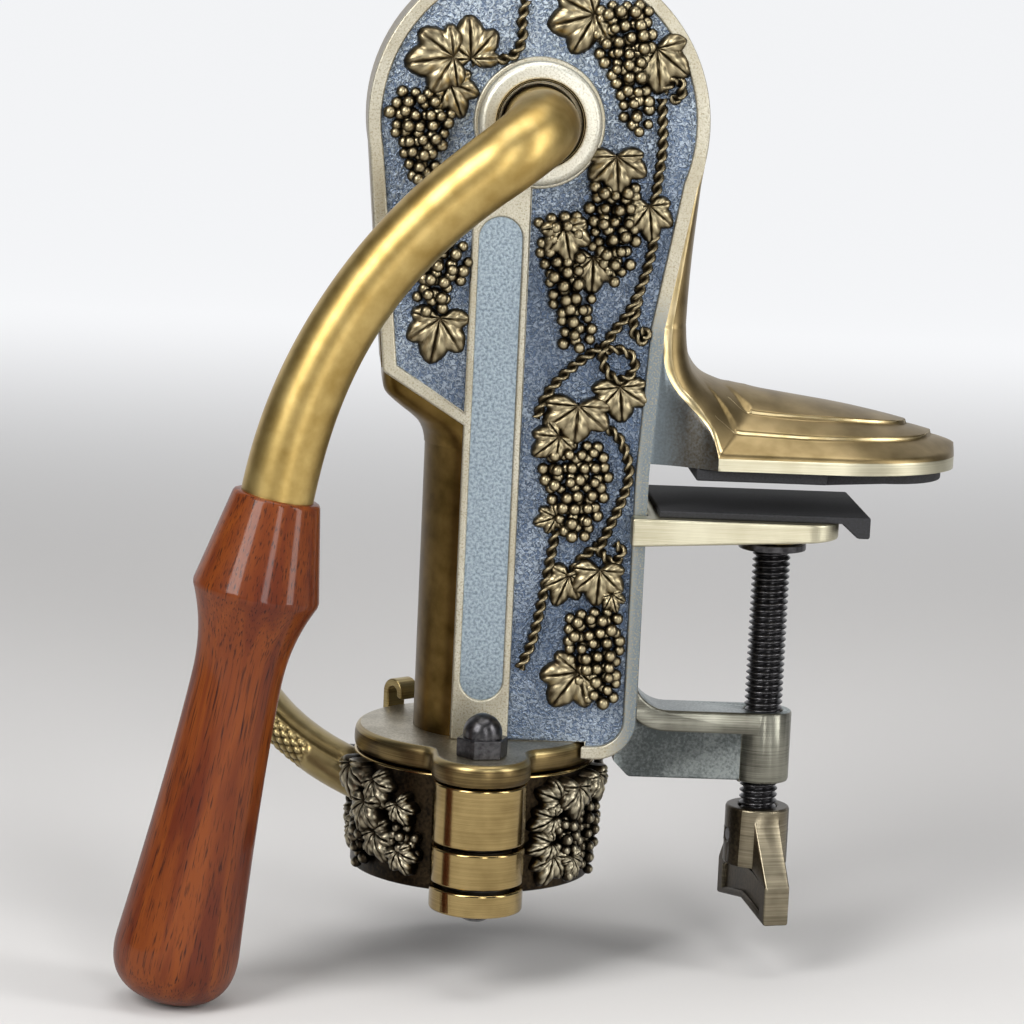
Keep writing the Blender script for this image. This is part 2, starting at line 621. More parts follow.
# a cover's outline, drawn in by d
def coverOutline(d=0.0):
    r = body["domeR"] - d
    neck = (body["neckX"] - body["waist"] - d, body["neckZ"])
    kink = (d - body["kinkX"], body["kinkZ"] + 0.4 * body["coverLift"] + d / 2)
    first = leaveTurn((body["hubX"] - r, body["hubZ"]), kink) % 360
    last = leaveTurn((body["hubX"] + r, body["hubZ"]), neck)
    outline = arc(body["hubX"], body["hubZ"], r, first, last, 64) + [neck, (body["rearX"] - d, seat.z)]
    corner = body["cornerR"]
    outline += arc(body["rearX"] - corner, corner - body["skirt"], corner - d, 0, -90, 12)
    outline += [(-body["barHalf"], d - body["skirt"]),
                (-body["barHalf"], body["kinkFootZ"] + body["coverLift"] + d), kink]
    return outline


# rear edge at a height of a cover, or of the neck with no waist
def coverEdge(z):
    waistX = body["neckX"] - body["waist"]
    if z < body["neckZ"]:
        return mix(body["rearX"], waistX, max(0, z - seat.z) / (body["neckZ"] - seat.z))
    rise = (z - body["neckZ"]) / (body["hubZ"] - body["neckZ"])
    dome = math.sqrt(max(0, body["domeR"] ** 2 - (z - body["hubZ"]) ** 2))
    return max(mix(waistX, body["hubX"] + body["domeR"], rise), body["hubX"] + dome)


def neckEdge(z):
    rise = (z - body["neckZ"]) / (body["hubZ"] - body["neckZ"])
    eased = body["ease"] * max(0, (body["easeZ"] - z) / (body["easeZ"] - body["neckZ"])) ** 2
    return max(mix(body["neckX"], body["hubX"] + body["domeR"], rise) + eased, coverEdge(z) + 0.05)


# neck and foot, one sweep: ridge (x, z) and edge (x, y, z) of the rows in the bend between them
bend = (((46.3, 103.0), (40.5, 17.4, 103.0)), ((46.6, 100.4), (40.4, 17.4, 99.4)),
        ((47.4, 97.0), (40.7, 17.5, 95.4)), ((48.8, 93.7), (41.8, 17.6, 91.8)),
        ((51.0, 91.3), (43.8, 18.0, 88.5)), ((54.0, 89.8), (46.9, 18.8, 85.3)),
        ((58.0, 88.8), (50.4, 20.7, 82.0)), ((62.1, 88.0), (52.9, 23.0, 78.5)),
        ((66.6, 87.3), (54.4, 25.0, 73.5)))
foot = {"tipX": 115.5, "half": 25.0, "edgeZ": 73.5, "lowZ": 69.8, "fall": 0.14, "roundL": 33.0, "crown": 1.9,
        "inset": 5.6, "step": 0.95, "riser": 0.7, "lip": 0.7, "corners": (58.9, 62.7), "fades": (51.5, 57.0),
        "slants": (1.35, 1.6), "plain": (0.88, 0.6), "bareX": 47.0, "bareL": 7.0, "neckHigh": 142.0,
        "neckLow": 103.4, "neckY": 17.1, "tuckX": 2.0, "tuckY": 14.0, "cheekX": 38.55, "cheekY": 17.4,
        "flat": 0.614}
# rows down the neck, in each stretch of the bend, along the foot and round its tip; points across a half row
footGrid = {"neck": 40, "bend": 8, "along": 40, "tip": 110, "side": 8, "across": (14, 8, 12, 8, 18)}


# half width of a raised step at a place along the foot, and how much of it stands there
def stepSide(x, k):
    full = foot["half"] - foot["inset"] * k
    nose = (x - foot["tipX"] + foot["inset"] * k * 1.1 + foot["roundL"]) / foot["roundL"]
    side = full * math.sqrt(1 - clamp(nose) ** 2)
    if nose < 0:
        side = max(full * 0.35, side - foot["slants"][k - 1] * max(0, foot["corners"][k - 1] - x))
    return side


def stepShare(x, k):
    low = foot["fades"][k - 1]
    return clamp((x - low) / (foot["corners"][k - 1] - low))


# rows from the head down the neck, through the bend and out to the tip
def footRows():
    rows = []
    for i in range(footGrid["neck"]):
        z = mix(foot["neckHigh"], foot["neckLow"], i / (footGrid["neck"] - 1))
        x = coverEdge(z)
        tuck = (x - foot["tuckX"], foot["tuckY"], z)
        rows.append((0.0, (neckEdge(z), z), (x + 0.02, foot["neckY"], z), tuck))
    ridges = through([(x, 0, z) for (x, z), edge in bend], footGrid["bend"])
    edges = through([edge for ridge, edge in bend], footGrid["bend"])
    ridgeX, ridgeZ = bend[-1][0]
    edgeX = bend[-1][1][0]
    for i, (r, e) in enumerate(zip(ridges, edges)):
        t = i / (len(ridges) - 1)
        side = mix(foot["cheekY"], foot["half"], t ** 1.6)
        rows.append((t, (r.x, r.z), tuple(e), (mix(foot["cheekX"], edgeX, t), side, foot["lowZ"])))
    start = foot["tipX"] - foot["roundL"]
    for i in range(1, footGrid["along"] + footGrid["tip"] + 1):
        t = min(1, i / footGrid["along"])
        past = max(0, i - footGrid["along"]) / footGrid["tip"]
        reach = foot["roundL"] * math.sin(math.radians(89.5 * past))
        x = mix(edgeX, start, t) + reach
        ridge = mix(ridgeX, start, t) + reach
        side = foot["half"] * math.sqrt(1 - (reach / foot["roundL"]) ** 2)
        top = mix(foot["edgeZ"] + 2, ridgeZ - foot["fall"] * (ridge - ridgeX), side / foot["half"])
        rows.append((1.0, (ridge, top), (x, side, foot["edgeZ"]), (x, side, foot["lowZ"])))
    return rows


# one half of a row from the edge to the ridge, still plain, with more points where the risers come
def rowPoints(blend, ridge, edge):
    across = edge[1]
    gap = 0.6 * foot["riser"] * across / foot["half"]
    knots = [across]
    for k in (1, 2):
        plain = foot["plain"][k - 1] * across
        mark = mix(plain, min(plain, stepSide(ridge[0], k)), stepShare(ridge[0], k))
        knots += [mark + gap, mark - gap]
    knots.append(0)
    narrow = across / foot["half"] if blend == 1 else 1
    raised = foot["step"] * (stepShare(ridge[0], 1) + stepShare(ridge[0], 2)) * narrow
    points = []
    for high, low, count in zip(knots, knots[1:], footGrid["across"]):
        for i in range(count):
            y = max(0, mix(high, low, i / count))
            v = min(1, y / across)
            bow = max(0, (v - foot["flat"]) / (1 - foot["flat"]))
            share = mix(1 - math.sqrt(1 - bow * bow), v ** foot["crown"], blend * blend * (3 - 2 * blend))
            points.append(Vector((mix(ridge[0], edge[0], share), y, mix(ridge[1] - raised, edge[2], share))))
    return points + [Vector((ridge[0], 0, ridge[1] - raised))]


# the fold behind the foot's corner eased, more towards the ridge
def easeRows(grid):
    eased = []
    for i, half in enumerate(grid):
        line = []
        for j, spot in enumerate(half):
            reach = round(9 * (1 - spot.y / half[0].y)) if footGrid["neck"] < i < len(grid) - 1 else 0
            reach = min(reach, i, len(grid) - 1 - i)
            near = [grid[n][j] for n in range(i - reach, i + reach + 1)]
            line.append(sum(near, Vector()) / len(near))
        eased.append(line)
    return eased


# the two raised steps and the rounded lip added to a plain row
def dressRow(half, blend, across):
    for spot in half:
        for k in (1, 2):
            side = stepSide(spot.x, k)
            rise = clamp(0.5 + (side - spot.y) / foot["riser"])
            if side > 0:
                spot.z += foot["step"] * stepShare(spot.x, k) * rise * rise * (3 - 2 * rise)
        over = max(0, spot.y - across + foot["lip"]) / foot["lip"]
        spot.z -= foot["lip"] * blend * (1 - math.sqrt(max(0, 1 - over * over)))


def makeFoot():
    rows = footRows()
    grid = easeRows([rowPoints(blend, ridge, edge) for blend, ridge, edge, low in rows])
    flank = footGrid["side"]
    rings = []
    for half, (blend, ridge, edge, low) in zip(grid, rows):
        dressRow(half, blend, edge[1])
        half = [Vector(low).lerp(half[0], i / flank) for i in range(flank)] + half
        rings.append([at(*p) for p in half] + [at(x, -y, z) for x, y, z in reversed(half[:-1])])
    count = len(rings[0])
    piece = newPiece("foot", *loft(rings), weld=0)
    bare = piece.data.attributes.new("bare", "FLOAT", "POINT")
    bare.data.foreach_set("value", [clamp((foot["bareX"] - (v.co.x / mm + seat.x)) / foot["bareL"])
                                    for v in piece.data.vertices])
    dress(piece, ("wipedFootBrass", "wipedCheekBronze", "brushedPaleBrass", "polishedEdgeBrass"))
    lastBend = footGrid["neck"] + footGrid["bend"] * (len(bend) - 1)
    first = flank + footGrid["across"][0] + 3  # the two bright columns in the middle of each riser
    second = first + footGrid["across"][1] + footGrid["across"][2]
    for face in piece.data.polygons:
        row, column = divmod(face.index, count)
        inward = min(column, count - 2 - column)
        if inward < flank:
            face.material_index = 1 if row < lastBend else 2
        elif inward < flank + 3 and row < lastBend:
            face.material_index = 3
        elif inward in (first, first + 1, second, second + 1) and row > lastBend - 14:
            bright = stepSide(rows[row][1][0], 1 if inward < second else 2) > 1.5
            face.material_index = 3 if bright else 0
    return smooth(piece, 38)


# shoulder under the kink, a curve from the body to the column: height, reach, half width, squareness
shoulder = ((92.0, 27.0, 14.48, 12.0), (87.5, 26.9, 14.48, 10.0), (84.5, 26.3, 14.48, 8.0),
            (82.3, 24.3, 14.5, 6.0), (80.4, 22.0, 14.5, 5.0), (78.6, 19.7, 14.6, 4.0),
            (76.6, 17.7, 14.9, 3.0), (74.2, 16.4, 15.3, 2.4), (71.3, 15.8, 15.6, 2.1),
            (66.0, 15.62, 15.62, 2.0), (0.05, 15.6, 15.6, 2.0))


def makeShoulder():
    steps = 4
    rings = []
    for i, (z, reach, half) in enumerate(through([row[:3] for row in shoulder], steps)):
        above = shoulder[i // steps][3]
        below = shoulder[min(i // steps + 1, len(shoulder) - 1)][3]
        power = 2 / mix(above, below, i % steps / steps)
        ring = []
        for k in range(49):
            turn = math.radians(90 + 180 * k / 48)
            across = math.copysign(abs(math.sin(turn)) ** power, math.sin(turn))
            ring.append(at(-reach * abs(math.cos(turn)) ** power, half * across, z))
        rings.append(ring)
    return dress(smooth(newPiece("shoulder", *loft(rings)), 50), ("stainedColumnBrass",))


# what the foot and the shoulder take the place of, and the clamp arm with its boss
shellCuts = {"rear": ((38.52, 60), (38.52, 66.8), (40, 75), (39.6, 103), (41.1, 113), (43.7, 128),
                      (46.7, 141.5), (140, 141.5), (140, 60)),
             "strip": ((37, 74), (37, 144), (60, 144), (60, 74)),
             "kink": ((-40, 60), (-7.1, 60), (-7.1, 78.5), (-27.2, 90.6), (-40, 90.6))}
clampArm = {"edgeX": 37.0, "x": 38.6, "z": 30.0, "bossR": 7.5, "bandY": 5.6}


def shellFinish(p, n):
    if p.x > clampArm["x"] and p.z < clampArm["z"]:
        boss = math.hypot(p.x - body["screwX"], p.y) < clampArm["bossR"] and abs(n.z) < 0.7
        return 1 if boss or abs(p.y) > clampArm["bandY"] else 2
    return 3 if p.z < body["columnZ"] and p.x < body["columnX"] else 0


def makeCasting():
    shell = polishedCopy("frameCasting", "frame_casting", 0.7,
                         lambda p: p.x > clampArm["edgeX"] and p.z < clampArm["z"])
    rear = slab("rearCut", shellCuts["rear"], -40, 40)
    strips = [slab("stripCut", shellCuts["strip"], *sides) for sides in ((-20, -14.45), (14.45, 20))]
    kink = slab("kinkCut", shellCuts["kink"], -20, 20)
    cutAway(kink, plug(0, 0, 0, (0, 0, 1), body["columnR"], 50, 100))
    cutAway(shell, rear, kink, *strips)
    dress(shell, ("stainedEdgeBrass", "brushedBossBronze", "greyWebBronze", "stainedColumnBrass"),
          shellFinish)
    casting = joined("frameCasting", [smooth(shell), makeFoot(), makeShoulder()])
    standIn(casting, "frame", "cast_bronze", "frame_casting")
    print("casting", len(casting.data.polygons))


makeCasting()


# covers: pale rim and bar, pebbled field, grained panel; side is -1 towards the handle
coverCuts = {"inY": 12.0, "overY": 21.0, "outY": 24.0, "barLow": -6.0, "barHigh": 150.0, "brokenY": 15.2,
             "flushLow": 70.0, "flushHigh": 143.0}


def makeCover(name, node, side):
    def between(outline, low, high):
        return slab("cover", outline, *sorted((side * low, side * high)))

    def hubPlug(r):
        return plug(body["hubX"], 0, body["hubZ"], (0, side, 0), r, coverCuts["inY"], coverCuts["outY"])

    cover = between(coverOutline(), body["frameY"], body["coverY"])
    field = between(coverOutline(body["rim"]), body["fieldY"], coverCuts["overY"])
    half = body["barHalf"]
    low = coverCuts["barLow"]
    high = coverCuts["barHigh"]
    bar = [(-half, low), (half, low), (half, high), (-half, high)]
    cutAway(field, between(bar, coverCuts["inY"], coverCuts["outY"]), hubPlug(body["hubR"]))
    half = body["panelHalf"]
    panel = arc(0, body["panelHigh"] - half, half, 0, 180, 24)
    panel += arc(0, body["panelLow"] + half, half, 180, 360, 24)
    cutAway(cover, field, between(panel, body["panelY"], coverCuts["overY"]),
            plug(0, 0, 0, (0, 0, 1), body["flangeR"], -12, 0), hubPlug(body["bushR"]))

    # the rim runs flush into neck and cheek, so it stays sharp there
    def broken(p):
        flush = p.x > coverEdge(p.z) - 0.2 and coverCuts["flushLow"] < p.z < coverCuts["flushHigh"]
        return side * p.y > coverCuts["brokenY"] and not flush

    polish(cover, 0.55, broken)
    cover.name = name

    def coverFinish(p, n):
        if side * n.y > 0.9 and side * p.y < body["fieldY"] + 0.2:
            return 1
        return 2 if side * n.y > 0.9 and side * p.y < body["panelY"] + 0.2 else 0

    dress(cover, ("sandCastBronze", "pebbledBronze", "lacqueredPanelBronze"), coverFinish)
    standIn(cover, "frame", "cover_bronze", node)


makeCover("frontCover", "front_cover", -1)
makeCover("rearCover", "rear_cover", 1)
print("covers done")


# vine relief, drawn flat: place on the cover (mm), length, way it points, width
coverRelief = {
    "leaves": ((-18.8, 164.8, 13, 190, 1.0), (-9.5, 170.4, 11.5, 95, 1.0), (-12, 155.6, 11, -65, 0.9),
               (14.6, 175.2, 13, 200, 1.0), (36, 164.5, 12.5, -80, 1.0), (27.1, 139.4, 10.5, -85, 1.1),
               (36, 127.7, 11, -80, 0.7), (16.2, 122.1, 11, -75, 0.9), (22.3, 115.1, 10, -90, 1.0),
               (-14.8, 98, 12.5, -100, 0.95), (31.1, 83.9, 10.5, -80, 1.1), (20.4, 78.6, 11.5, -90, 1.2),
               (13.2, 73.5, 9, 220, 0.9), (13.8, 55.1, 6.5, 200, 0.9), (18.7, 38, 9.5, -112, 0.65),
               (27.5, 38.8, 11, -90, 1.0), (31.6, 35.3, 6, -70, 0.6), (20.6, 13.7, 12, 235, 1.0)),
    # bunches: top, tip, width at the top and at the tip
    "bunches": ((-20.6, 158.5, -20.6, 136, 15, 5), (-11.4, 123, -17, 105.5, 10, 7),
                (25.5, 181, 31.8, 150, 14, 5), (26.7, 138, 27.6, 114, 13, 5),
                (13.4, 130, 19.6, 97.5, 12, 6), (19.6, 75, 21.6, 51.5, 16, 8), (25, 34, 30, 10, 14, 7)),
    "vines": (((3.4, 179.9), (2.7, 175.1), (2.9, 170.4), (0.7, 166.5), (-4.5, 165.1), (-8.8, 164.7)),
              ((37, 158), (37.7, 148), (37.4, 142), (36.5, 133)),
              ((37, 125.4), (35.7, 118), (34, 112), (31.4, 106), (27.8, 101), (25.8, 96.6), (26.8, 92.1),
               (30.2, 90), (33.3, 92.1), (33.2, 95.5), (30, 97.3), (26.5, 97.2)),
              ((34, 112), (33.3, 107), (32.8, 102.3), (34.9, 99.7), (36.4, 101.2), (34.6, 102.6)),
              ((25.1, 97.8), (19.2, 93.2), (13.5, 87), (10.4, 80)),
              ((26.5, 78.9), (31, 75.4), (33.6, 68), (32.2, 60.7), (29.2, 53.2), (27.5, 48.2), (30.6, 45.3),
               (32.9, 47.7), (31.1, 50.1)),
              ((27, 49.4), (22.7, 45.6), (20.5, 41.3)),
              ((16.5, 52.7), (15.4, 45.3), (14.1, 36.6), (12, 25.3), (9.2, 18.2)),
              ((37.2, 159.6), (39.7, 162.5), (41.8, 161.2), (41, 158), (38.9, 158.5))),
    "ballR": 1.7, "strandR": 0.8, "turnL": 5.4, "vineH": 0.8, "crown": 2.6, "seed": 4}


# one lobe of a vine leaf: how high and how rubbed it is at a place, both as shares
def lobeAt(a, b, lobe):
    turn, far, wide = lobe
    run = (a * math.cos(turn) + b * math.sin(turn)) / far
    if not 0 < run < 1:
        return 0.0, 0.0
    swell = math.sin(math.pi * run ** 1.1) ** 0.6
    side = abs(b * math.cos(turn) - a * math.sin(turn)) / (wide * far * swell)
    if side >= 1:
        return 0.0, 0.0
    vein = math.exp(-(side / 0.1) ** 2)
    rib = 0.5 + 0.5 * math.cos(2 * math.pi * (3.5 * run - 1.1 * side))
    bulge = (1 - side ** 2.4) ** 0.65 * (0.5 + 0.5 * math.sin(math.pi * run ** 0.9))
    return bulge * (1 - 0.25 * vein - 0.07 * rib), bulge * (1 - 0.7 * vein) * (1 - 0.3 * rib)


# a vine leaf of length 1 round its stalk, in polar rings: (along, across, height, rubbing)
def unitLeaf(dice):
    lobes = [(math.radians(turn + dice.uniform(-5, 5)), far * dice.uniform(0.93, 1.05), wide)
             for turn, far, wide in ((0, 0.98, 0.36), (46, 0.86, 0.34), (-46, 0.86, 0.34), (93, 0.64, 0.34),
                                     (-93, 0.64, 0.34))]
    places = [(0.0, 0.0, 0.45, 0.2)]
    spokes = [2 * math.pi * k / leafGrid["spokes"] for k in range(leafGrid["spokes"])]
    reach = []
    for turn in spokes:
        r = 1.08
        while r > 0.06 and not any(lobeAt(r * math.cos(turn), r * math.sin(turn), lobe)[0] > 0
                                   for lobe in lobes):
            r -= 0.02
        reach.append(r)
    for i in range(1, leafGrid["rings"] + 1):
        share = i / leafGrid["rings"]
        for turn, far in zip(spokes, reach):
            a = far * share * math.cos(turn)
            b = far * share * math.sin(turn)
            high, rub = max(lobeAt(a, b, lobe) for lobe in lobes)
            places.append((a, b, high, rub))
    return places


leafGrid = {"spokes": 112, "rings": 13}
leafFaces = [(0, 1 + k, 1 + (k + 1) % leafGrid["spokes"]) for k in range(leafGrid["spokes"])]
for i in range(leafGrid["rings"] - 1):
    for k in range(leafGrid["spokes"]):
        j = (k + 1) % leafGrid["spokes"]
        low = 1 + i * leafGrid["spokes"]
        high = low + leafGrid["spokes"]
        leafFaces.append((low + k, high + k, high + j, low + j))
leafDice = random.Random(11)
leafKinds = [unitLeaf(leafDice) for k in range(4)]


# a leaf laid flat: (u, v, height) in mm, and its rubbing
def leafShape(kind, spot, length, way, width, crown, lift, curl):
    along = Vector((math.cos(math.radians(way)), math.sin(math.radians(way))))
    across = Vector((-along.y, along.x))
    stalk = Vector(spot) - along * length * 0.45
    edge = len(kind) - leafGrid["spokes"]
    points = []
    for n, (a, b, high, rub) in enumerate(kind):
        place = stalk + along * a * length + across * b * length * width
        level = lift + crown * max(0.0, high + curl * b) if n < edge else -0.3
        points.append((place.x, place.y, level))
    return points, [rub if n < edge else 0.0 for n, (a, b, high, rub) in enumerate(kind)]


# points of a bunch: rows of balls that narrow to the tip, heaped in the middle
def bunchPoints(bunch, ball, dice):
    u0, v0, u1, v1, wide, narrow = bunch
    axis = Vector((u1 - u0, v1 - v0))
    long = axis.length
    axis.normalize()
    across = Vector((-axis.y, axis.x))
    spots = []
    for layer in range(2):
        rows = int((long - layer * 3 * ball) / (1.62 * ball))
        for row in range(rows + 1):
            t = (row + 0.5 * layer) / max(1, rows)
            span = mix(wide, narrow, clamp((t - 0.2) / 0.8) ** 1.2) * (0.75 + 0.25 * min(1, t / 0.25))
            span -= layer * 2.6 * ball
            if span < 0:
                continue
            count = max(1, int(span / (1.72 * ball)) + 1)
            stagger = 0.4 * ball if row % 2 and count > 1 else 0
            for k in range(count):
                shift = (k - (count - 1) / 2) * 1.78 * ball + stagger
                s = ball + t * (long - 2 * ball) + dice.uniform(-0.3, 0.3) * ball
                spot = Vector((u0, v0)) + axis * s + across * (shift + dice.uniform(-0.25, 0.25) * ball)
                high = (0.62 + 0.85 * layer + dice.uniform(-0.15, 0.25)) * ball
                spots.append((spot.x, spot.y, high))
    return spots


# how far a place lies from a bunch's axis, as a share of its half width there
def offBunch(u, v, bunch):
    u0, v0, u1, v1, wide, narrow = bunch
    axis = Vector((u1 - u0, v1 - v0))
    away = Vector((u - u0, v - v0))
    t = clamp(away.dot(axis) / axis.length_squared)
    return (away - t * axis).length / (mix(wide, narrow, t) / 2)


def keepHeights(piece, levels):
    kept = piece.data.attributes.new("height", "FLOAT", "POINT")
    kept.data.foreach_set("value", levels)


# balls and ropes are rubbed where they face outwards
def facingLevels(piece, crown):
    return [0.05 + 0.85 * max(0, v.normal.z) ** 1.6 * (0.55 + 0.45 * min(1, v.co.z / mm / crown))
            for v in piece.data.vertices]


# the whole relief of one face, still flat, with its rubbing kept for the finish
def flatRelief(name, layout, look, clear=lambda u, v, r: (u, v)):
    dice = random.Random(layout["seed"])
    bronze = finish[look]
    points = []
    faces = []
    levels = []
    middles = []
    for u, v, length, way, width in layout["leaves"]:
        u, v = clear(u, v, 0.36 * length)
        middles.append((u, v, length))
        lift = 1.3 if min(offBunch(u, v, bunch) for bunch in layout["bunches"]) < 1 else 0.0
        high = layout["crown"] * (0.8 + 0.02 * length) * dice.uniform(0.92, 1.08)
        shape = leafShape(dice.choice(leafKinds), (u, v), length * 0.96, way, max(0.85, width), high, lift,
                          dice.uniform(-0.35, 0.35))
        faces += [tuple(i + len(points) for i in face) for face in leafFaces]
        points += shape[0]
        levels += shape[1]
    mesh = bpy.data.meshes.new(name + "Leaves")
    mesh.from_pydata([tuple(Vector(p) * mm) for p in points], [], faces)
    leafPiece = linkPiece(name + "Leaves", mesh)
    mesh.materials.append(bronze)
    keepHeights(leafPiece, levels)
    pieces = [smooth(leafPiece, 70)]
    spots = []
    for bunch in layout["bunches"]:
        for u, v, h in bunchPoints(bunch, layout["ballR"], dice):
            hidden = any(math.hypot(u - x, v - z) < 0.3 * length for x, z, length in middles)
            if clear(u, v, layout["ballR"]) == (u, v) and not hidden:
                spots.append((u, v, h))
    dots = bpy.data.meshes.new(name + "Grapes")
    dots.from_pydata([tuple(Vector(s) * mm) for s in spots], [], [])
    grapes = runTree(linkPiece(name + "Grapes", dots), grapeTree, {
        "Ball Radius": layout["ballR"] * mm, "Smallest": 0.8, "Seed": layout["seed"], "Bronze": bronze})
    keepHeights(grapes, facingLevels(grapes, layout["crown"]))
    pieces.append(grapes)
    for k, vine in enumerate(layout["vines"]):
        curl = (sum(u for u, v in vine[-4:]) / 4, sum(v for u, v in vine[-4:]) / 4)
        if clear(*curl, 0) != curl:  # no room for a curl round a screw head
            continue
        line = [clear(p.x, p.y, 1.2) for p in through([(u, v, 0) for u, v in vine])]
        line = [Vector((u, v, layout["vineH"])) * mm for u, v in line]
        rope = runTree(newLine(name + "Vine" + str(k), line), vineTree, {
            "Strand Radius": layout["strandR"] * mm, "Turn Length": layout["turnL"] * mm,
            "Step Length": 0.42 * mm, "Bronze": bronze})
        keepHeights(rope, facingLevels(rope, layout["vineH"] * 2))
        pieces.append(rope)
    return joined(name, pieces)


# lays a flat relief on its face
def layRelief(relief, onto):
    for vert in relief.data.vertices:
        vert.co = onto(vert.co.x / mm, vert.co.y / mm, vert.co.z / mm)
    work = bmesh.new()
    work.from_mesh(relief.data)
    bmesh.ops.recalc_face_normals(work, faces=work.faces)
    work.to_mesh(relief.data)
    work.free()
    return relief


frontRelief = layRelief(flatRelief("frontVineRelief", coverRelief, "rubbedReliefBronze"),
                        lambda u, v, h: at(u, -body["fieldY"] - h, v))
standIn(frontRelief, "frame", "cover_bronze")


# moves a place on the rear cover off the screw heads
def clearOfScrews(u, v, r):
    room = screwRoom + r
    for x, z in rearScrews:
        gap = math.hypot(u - x, v - z)
        if gap < room:
            push = room / max(gap, 0.01)
            return (x + (u - x) * push, z + (v - z) * push)
    return (u, v)


rearRelief = layRelief(flatRelief("rearVineRelief", coverRelief, "rubbedReliefBronze", clearOfScrews),
                       lambda u, v, h: at(u, body["fieldY"] + h, v))
standIn(rearRelief, "frame", "cover_bronze")
print("vine relief", len(frontRelief.data.polygons), len(rearRelief.data.polygons))


# collar: flange with a bull-nosed edge and hollows beside its lug
flange = {"r": 30.0, "lugR": 12.05, "pinY": -34.0, "hollowR": 4.0, "boreR": 6.5, "pinR": 3.1,
          "screwsR": 13.5, "screwR": 1.5, "screwTurns": (70, 180, 290),
          "edge": ((-5.7, 0.9), (-5.5, 0.5), (-5.1, 0.2), (-4.4, 0.03), (-3.4, 0.0), (-2.2, 0.05),
                   (-1.3, 0.2), (-0.75, 0.5), (-0.35, 0.9), (-0.1, 1.35), (0.0, 1.8))}


def flangeOutline(inset):
    r = flange["r"] - inset
    lug = flange["lugR"] - inset
    hollow = flange["hollowR"] + inset
    cx = lug + hollow
    cy = -math.sqrt((r + hollow) ** 2 - cx ** 2)
    meet = math.degrees(math.atan2(cy, cx))
    half = arc(0, 0, r, 90, meet, 48) + arc(cx, cy, hollow, meet + 180, 180, 12)[1:]
    half += arc(0, flange["pinY"], lug, 0, -90, 24)
    return half + [(-x, y) for x, y in reversed(half[1:-1])]


def makeFlange():
    rings = [[at(x, y, z) for x, y in flangeOutline(inset)] for z, inset in flange["edge"]]
    plate = newPiece("collarFlange", *loft(rings))
    holes = [(0, 0, flange["boreR"]), (0, flange["pinY"], flange["pinR"])]
    ringR = flange["screwsR"]
    for turn in map(math.radians, flange["screwTurns"]):
        holes.append((ringR * math.cos(turn), ringR * math.sin(turn), flange["screwR"]))
    cutAway(plate, *[plug(x, y, 0, (0, 0, 1), r, -8, 8, 40) for x, y, r in holes])
    smooth(plate, 40)
    dress(plate, ("darkSandCastBronze", "linishedAntiqueBrass", "stainedEdgeBrass"),
          lambda p, n: 0 if n.z > 0.95 else 1 if n.z > 0.35 else 2)
    standIn(plate, "frame", "cast_bronze", "base_plate")


makeFlange()

# jaws: oxidised shells with linished knuckles
knuckle = {"r": 11.45, "rearY": -26.0, "lipZ": -7.2}


def jawFinish(p, n):
    onKnuckle = math.hypot(p.x, p.y - flange["pinY"]) < knuckle["r"] and p.y < knuckle["rearY"]
    return 1 if onKnuckle or p.z > knuckle["lipZ"] else 0


for jawName, jawNode, jawBody in (("fixedJaw", "fixed_jaw", "frame"), ("movingJaw", "moving_jaw", "jaw")):
    jaw = polishedCopy(jawName, jawNode, 0.6)
    dress(jaw, ("oxidisedJawBronze", "goldenKnuckleBrass"), jawFinish)
    standIn(jaw, jawBody, "cast_bronze", jawNode)

# vine relief of the jaws, drawn flat like the covers', but with degrees round the bottle axis for the place
jawR = 30.0
jawTurn = jawR * math.pi / 180
jawLow = -35.0
jawHigh = -6.6
jawReliefs = {
    "movingJawRelief": {
        "owner": "jaw", "seed": 8,
        "leaves": ((203, -12.5, 11, -75, 0.9), (221, -13.5, 9, -60, 0.8), (214, -20, 10, -95, 0.8),
                   (236, -17, 7, -60, 0.8), (198, -27, 8, -100, 0.9), (223, -26.5, 9.5, -60, 0.7),
                   (238, -29, 8, -60, 0.8), (155, -15, 10, -90, 1.0), (146, -26, 9, -80, 0.8),
                   (163, -27, 8, -100, 0.8)),
        "bunches": ((207, -17, 207, -32, 10, 5), (235, -19, 236, -32, 7, 4), (154, -18, 154, -32, 9, 5))},
    "fixedJawRelief": {
        "owner": "frame", "seed": 9,
        "leaves": ((303, -11.5, 8.5, 160, 0.9), (318, -14, 10, -95, 0.9), (300, -18, 8, -160, 0.7),
                   (299, -24, 8, -165, 0.6), (304, -30, 9, -110, 0.8), (318, -30, 7, -70, 0.8),
                   (337, -12, 9, -80, 0.9), (20, -13, 11, -90, 1.0), (45, -14, 10, -80, 0.9),
                   (60, -25, 9, -100, 0.9), (33, -28, 9, -70, 0.9)),
        "bunches": ((314, -16, 315, -32, 9, 5), (333, -13, 332, -32, 11, 6), (22, -16, 22, -32, 11, 5),
                    (46, -18, 46, -32, 9, 5))}}


def ontoJaw(u, v, h):
    turn = u / jawR
    return at((jawR + h) * math.cos(turn), (jawR + h) * math.sin(turn), min(jawHigh, max(jawLow, v)))


for reliefName, layout in jawReliefs.items():
    layout.update({"vines": (), "ballR": 1.6, "crown": 3.5})
    layout["leaves"] = [(a * jawTurn, *rest) for a, *rest in layout["leaves"]]
    layout["bunches"] = [(a * jawTurn, z, b * jawTurn, *rest) for a, z, b, *rest in layout["bunches"]]
    relief = flatRelief(reliefName, layout, "oxidisedReliefBronze")
    standIn(layRelief(relief, ontoJaw), layout["owner"], "cast_bronze")
print("collar done")

